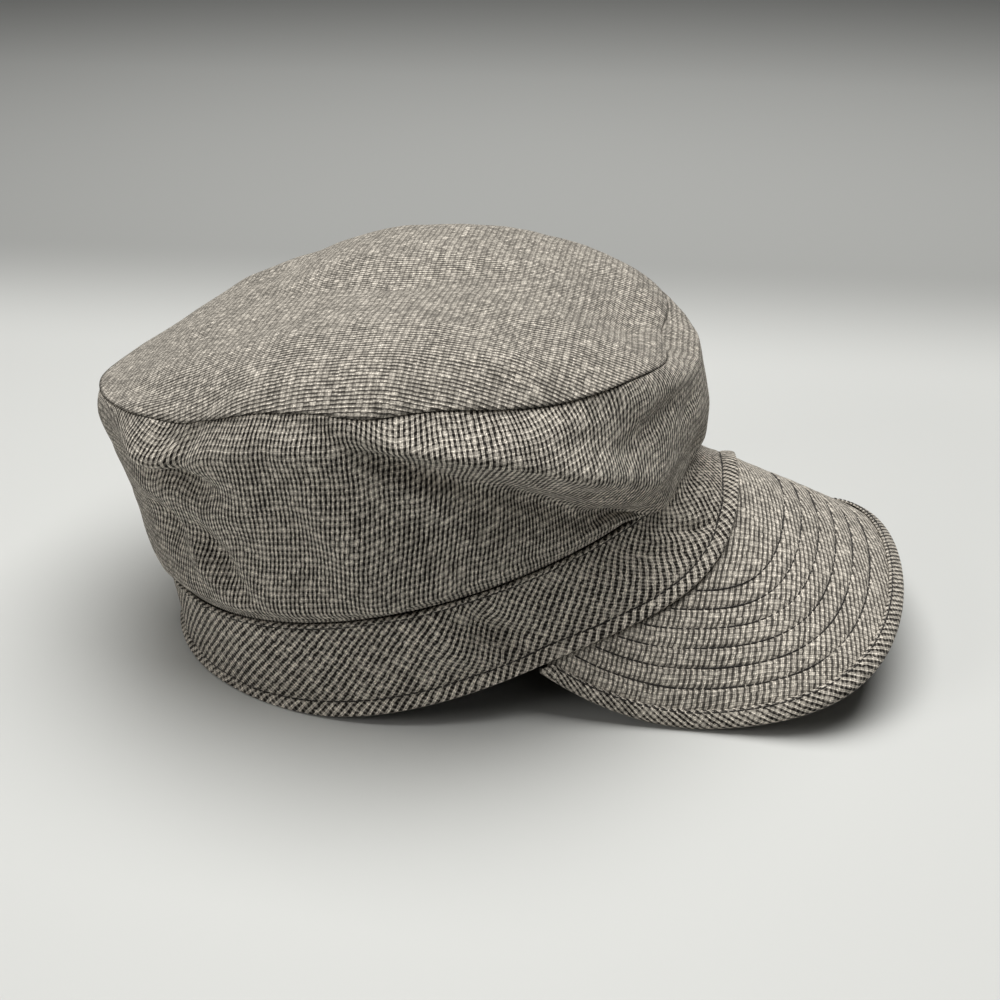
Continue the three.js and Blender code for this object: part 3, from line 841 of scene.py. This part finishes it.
def peakStations(count):
    shares = stationShare(count)
    angle = (shares * 2 - 1) * peak["halfAngle"]
    edge = peakEdge(shares)
    root = beside(bandSpot, angle, np.zeros_like(angle), 0, -seamGap)
    length = np.linalg.norm(edge - root, axis=-1)
    out = unit(edge - root)
    around = unit(np.gradient(edge, axis=0))
    normal = unit(np.cross(out, around))
    return {"angle": angle, "edge": edge, "root": root, "length": length, "out": out, "normal": normal}


def rowAt(row):  # how far in from the edge a stitched row runs, with row 0 along the tape
    return binding["width"] + 0.2 + row * peak["stitchSpacing"]


def peakRelief(fromEdge):  # stitched rows pull the cloth down, and it puffs between them
    first, last = rowAt(0), rowAt(peak["stitchRows"])
    across = (fromEdge - first) / peak["stitchSpacing"]
    relief = peak["puff"] * np.sin(math.pi * (across % 1.0)) ** 0.8
    relief = relief * ease(last + 1 - fromEdge, 0, 1) * ease(fromEdge, first, first + 1)
    depth, wide = peak["groove"]
    for row in range(1, peak["stitchRows"] + 1):
        relief = relief - depth * bump(fromEdge, rowAt(row), wide)
    return relief


def makePeakStitches():
    stations = peakStations(peak["stitchStations"])
    rows = []
    for row in range(1, peak["stitchRows"] + 1):
        fromEdge = rowAt(row)
        keep = stations["length"] > fromEdge + 1.0
        length = stations["length"][keep]
        root, out, normal = (stations[k][keep] for k in ("root", "out", "normal"))
        relief = peakRelief(np.full_like(length, fromEdge)) * ease(length - fromEdge, 0.5, 3)
        path = root + out * (length - fromEdge)[:, None] + normal * relief[:, None]
        rows.append(stitchRow(path, normal, False))
    keep = stations["length"] > binding["width"] + 2
    edge, out, normal = (stations[k][keep] for k in ("edge", "out", "normal"))
    inwards = binding["width"] * (1 - binding["stitchAt"])
    path = edge - out * inwards + normal * (seamGap + binding["thick"] - 0.15)
    rows.append(stitchRow(path, normal, False))
    sewTogether(rows, "peakStitches")


def peakFlat(spots):  # where a place lies once the sheet is laid flat: sideways and forward
    hem = band["rings"][0]
    rootX, rootZ = hem[1] + hem[2], hem[7]
    forward = unit(np.array([peak["tipX"] - rootX, 0, peak["tipZ"] + peak["edgeLift"] - rootZ]))
    high = np.array([-forward[2], 0, forward[0]])
    sideways, rise = spots[..., 1], spots @ high
    curve = np.polyfit(sideways.ravel() ** 2, rise.ravel(), 4)
    reach = np.linspace(0, 100, 401)
    slope = np.gradient(np.polyval(curve, reach**2), reach)
    arc = np.concatenate([[0], np.cumsum(np.sqrt(1 + slope[1:] ** 2) * np.diff(reach))])
    return np.stack([np.sign(sideways) * np.interp(np.abs(sideways), reach, arc), spots @ forward], -1)


def makePeak():
    stations = peakStations(peak["stations"])
    keep = stations["length"] > 4.6
    angle = stations["angle"][keep][:, None]
    root, out, normal = (stations[k][keep][:, None, :] for k in ("root", "out", "normal"))
    length = stations["length"][keep][:, None]
    tuck = band["thick"] + seamGap
    thick = peak["thick"]
    rim = binding["thick"] + seamGap + 0.3
    along = np.linspace(0, 1, peak["rows"])[None, :] ** 0.9 * (length - rim)
    fromEdge = length - along
    relief = peakRelief(fromEdge) * ease(along, 0.5, 3)
    upper = root + out * along[..., None] + normal * relief[..., None]
    uneven = crumple(peak, upper) * ease(along, 1, 8) * ease(fromEdge, 3, 9)
    upper = upper + normal * uneven[..., None]
    start = np.minimum(3, 0.45 * length)
    back = np.linspace(1, 0, peak["underRows"])[None, :]
    lowerRun = start + back * (length - rim - start)
    lower = root + out * lowerRun[..., None] - normal * thick
    frameUp = wallFrame(bandSpot, angle, np.zeros_like(angle))[0]
    turned = -frameUp - normal
    mitre = thick / (1 + np.sum(frameUp * normal, -1, keepdims=True))
    inside = [  # up inside the band and back down to the root
        root + turned * mitre,
        beside(bandSpot, angle, 0.0, tuck + thick, -seamGap - thick),
        beside(bandSpot, angle, 0.0, tuck + thick, 0),
        beside(bandSpot, angle, 0.14, tuck + thick, 0),
        beside(bandSpot, angle, 0.14, tuck, 0),
        beside(bandSpot, angle, 0.0, tuck, 0),
        beside(bandSpot, angle, 0.0, tuck, -seamGap),
    ]
    spots = np.concatenate([upper, lower, *inside, upper[:, :1]], 1)
    spots[..., 2] = np.maximum(0, spots[..., 2])

    # both faces are laid flat, and the strip inside the band runs on from the lower one
    run = runLength(spots)
    flat = peakFlat(lower)
    first = upper.shape[1]
    last = first + peak["underRows"]
    uv = np.stack([flat[:, -1:, 0] + 0 * run, flat[:, -1:, 1] - run + run[:, last - 1:last]], -1)
    uv[:, :first] = peakFlat(upper)
    uv[:, first:last] = flat
    piece = clothGrid(spots, uv)
    finishPiece(piece, "peakPanel", peakCloth, ["peak"], fillEnds=True)


def makeBinding():
    stations = peakStations(peak["stations"])
    keep = stations["length"] > 2.2
    edge, out, normal = (stations[k][keep][:, None, :] for k in ("edge", "out", "normal"))
    length = stations["length"][keep][:, None]
    width = np.minimum(binding["width"], length - 0.9)
    web = np.minimum(binding["thick"] + 0.3, width * 0.4)
    under = -peak["thick"] - seamGap
    high, low = seamGap + binding["thick"], under - binding["thick"]
    middle, half = (high + low) / 2, (high - low) / 2
    nose = half * 0.9
    depth, wide = binding["groove"]
    outward, over = [], []
    for share in np.linspace(0, 1, binding["topRows"]):  # top arm, from its inner edge outwards
        puff = binding["puff"] * math.sin(math.pi * share) ** 0.6
        groove = depth * math.exp(-((share - binding["stitchAt"]) / wide) ** 2)
        rolled = 0.5 * math.exp(-(share / 0.06) ** 2)
        outward.append(-width + (width - nose) * share)
        over.append(high + puff - groove - rolled + 0 * width)
    for turn in np.linspace(75, -75, binding["turnRows"]):  # round the edge
        outward.append(-nose + nose * math.cos(turn * degree) + 0 * width)
        over.append(middle + half * math.sin(turn * degree) + 0 * width)
    for share in np.linspace(1, 0, binding["underRows"]):  # under arm, back inwards
        rolled = 0.4 * math.exp(-(share / 0.06) ** 2)
        outward.append(-width + (width - nose) * share)
        over.append(low + rolled + 0 * width)
    for x, y in ((-width, under), (-web, under), (-web, seamGap), (-width, seamGap)):  # inner face
        outward.append(x)
        over.append(y + 0 * width)
    outward.append(outward[0])
    over.append(over[0])
    outward, over = np.concatenate(outward, 1)[..., None], np.concatenate(over, 1)[..., None]
    spots = edge + out * outward + normal * over
    spots[..., 2] = np.maximum(0, spots[..., 2])
    run = runLength(edge[:, 0])
    uv = np.stack([run[:, None] + 0 * spots[..., 0], runLength(spots)], -1)
    piece = clothGrid(spots, uv)
    finishPiece(piece, "peakBinding", bindingCloth, ["peak_binding"], fillEnds=True)


makePeak()
makeBinding()
makePeakStitches()


# Floor, light and camera. The floor and the lamps are in metres, the camera in millimetres.

studio = {
    "floorColour": (0.585, 0.594, 0.584),
    "floorSize": 8,
    "paintedShadeFrom": 0.24,  # painted shade darkens the floor towards the back, then painted light brightens it again
    "paintedShadeTo": 0.42,
    "paintedShadeTone": 0.64,
    "paintedLightTo": 0.95,
    "paintedLightTone": 1.45,
    "lamps": [  # name, place, target, size, power, colour
        ("overhead", (0.04, 0.15, 1.15), (0.02, 0, 0.05), (1.2, 1.15), 18.7, (1.0, 0.99, 0.97)),
        ("leftFill", (-1.2, -0.9, 0.70), (0, 0, 0.06), (0.8, 0.5), 5.8, (1.0, 0.98, 0.95)),
        ("rightFill", (1.3, -1.05, 0.48), (0, 0, 0.06), (1.0, 0.5), 2.0, (1.0, 0.98, 0.95)),
    ],
    "skyColour": (0.86, 0.88, 0.88, 1),
    "skyPower": 0.012,
    "elevation": 25.33,
    "turn": 7.42,
    "distance": 596.94,
    "target": (-1.9, 0.0, 40.71),
    "focalPixels": 1679.83,
    "framePixels": 1000,
    "sensor": 36,
}


def makeFloor():
    bpy.ops.mesh.primitive_plane_add(size=studio["floorSize"], location=(0, 0, 0))
    floor = bpy.context.object
    floor.name = "floor"
    material = bpy.data.materials.new("pale_table")
    material.use_nodes = True
    tree = material.node_tree
    shader = tree.nodes["Principled BSDF"]
    place = addNode(tree, "ShaderNodeTexCoord").outputs["Object"]
    cloud = addNode(tree, "ShaderNodeTexNoise", i0=place, i2=1.3, i3=2.0).outputs[0]
    behind = addNode(tree, "ShaderNodeSeparateXYZ", i0=place).outputs[1]
    # painted shade towards the back of the floor, then painted light further back
    paintedShade = addNode(tree, "ShaderNodeMapRange", {"interpolation_type": "SMOOTHSTEP"}, i0=behind,
                   i1=studio["paintedShadeFrom"], i2=studio["paintedShadeTo"], i3=1.0, i4=studio["paintedShadeTone"]).outputs[0]
    rise = addNode(tree, "ShaderNodeMapRange", i0=behind,
                   i1=studio["paintedShadeTo"], i2=studio["paintedLightTo"], i3=1.0, i4=studio["paintedLightTone"]).outputs[0]
    amount = mathNode(tree, "MULTIPLY", mathNode(tree, "MULTIPLY", paintedShade, rise),
                      mathNode(tree, "MULTIPLY_ADD", cloud, 0.04, 0.98))
    toned = vectorNode(tree, "SCALE", studio["floorColour"], scale=amount)
    tree.links.new(toned, shader.inputs["Base Color"])
    shader.inputs["Roughness"].default_value = 0.55
    shader.inputs["Specular IOR Level"].default_value = 0.25
    floor.data.materials.append(material)
    floor.select_set(False)


def areaLight(name, place, target, size, power, colour):
    light = bpy.data.lights.new(name, "AREA")
    light.shape = "RECTANGLE"
    light.size, light.size_y = size
    light.energy = power
    light.color = colour
    holder = bpy.data.objects.new(name, light)
    bpy.context.collection.objects.link(holder)
    holder.location = place
    holder.rotation_euler = (Vector(target) - Vector(place)).to_track_quat("-Z", "Y").to_euler()


def makeLights():
    for lamp in studio["lamps"]:
        areaLight(*lamp)
    world = bpy.context.scene.world or bpy.data.worlds.new("studio")
    bpy.context.scene.world = world
    world.use_nodes = True
    sky = world.node_tree.nodes["Background"]
    sky.inputs[0].default_value = studio["skyColour"]
    sky.inputs[1].default_value = studio["skyPower"]


def makeCamera():
    e, t = studio["elevation"] * degree, studio["turn"] * degree
    back = Vector((math.sin(t) * math.cos(e), -math.cos(t) * math.cos(e), math.sin(e)))
    camera = bpy.data.cameras.new("camera")
    camera.sensor_width = studio["sensor"]
    camera.lens = studio["focalPixels"] * studio["sensor"] / studio["framePixels"]
    camera.clip_start = 0.01
    holder = bpy.data.objects.new("camera", camera)
    bpy.context.collection.objects.link(holder)
    holder.location = (Vector(studio["target"]) + back * studio["distance"]) * mm
    holder.rotation_euler = (-back).to_track_quat("-Z", "Y").to_euler()
    bpy.context.scene.camera = holder


makeFloor()
makeLights()
makeCamera()
bpy.context.scene.view_settings.view_transform = "Standard"
bpy.context.scene.view_settings.look = "Medium High Contrast"
print("studio made")
